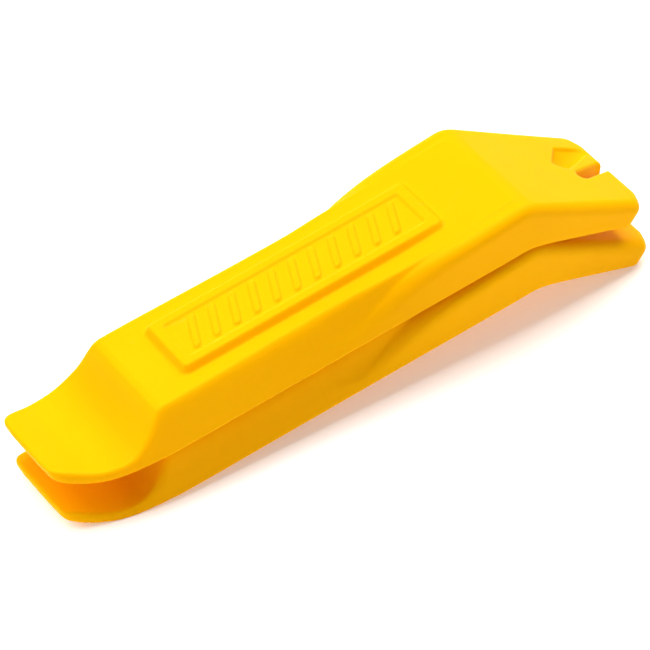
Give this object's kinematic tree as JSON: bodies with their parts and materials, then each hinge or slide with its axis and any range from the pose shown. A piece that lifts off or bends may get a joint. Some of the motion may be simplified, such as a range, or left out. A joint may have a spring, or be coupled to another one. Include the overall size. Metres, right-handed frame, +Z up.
{
  "type": "tyre lever pair",
  "caption": "Nested pair of moulded plastic bicycle tyre levers, each with a scooped tip, a bordered grip panel and a wide bent head with a hooked spoke slot.",
  "frame": {"origin": "middle of the pair's bounding box, on the flat surface it rests on", "axes": "+X from the scooped tips to the spoke-slot heads, +Y across the levers, +Z up from the surface"},
  "size_m": [0.1294, 0.0308, 0.0294],
  "materials": {
    "lever_plastic": "satin moulded, opaque yellow"
  },
  "bodies": {
    "lower_lever": {"lower_lever": "lever_plastic"},
    "upper_lever": {"upper_lever": "lever_plastic"}
  },
  "joints": [
    {"name": "lift_off", "type": "slide", "parent": "lower_lever", "child": "upper_lever", "axis": [-0.0968, 0, 0.9953], "range_m": [0, 0.03]}
  ]
}
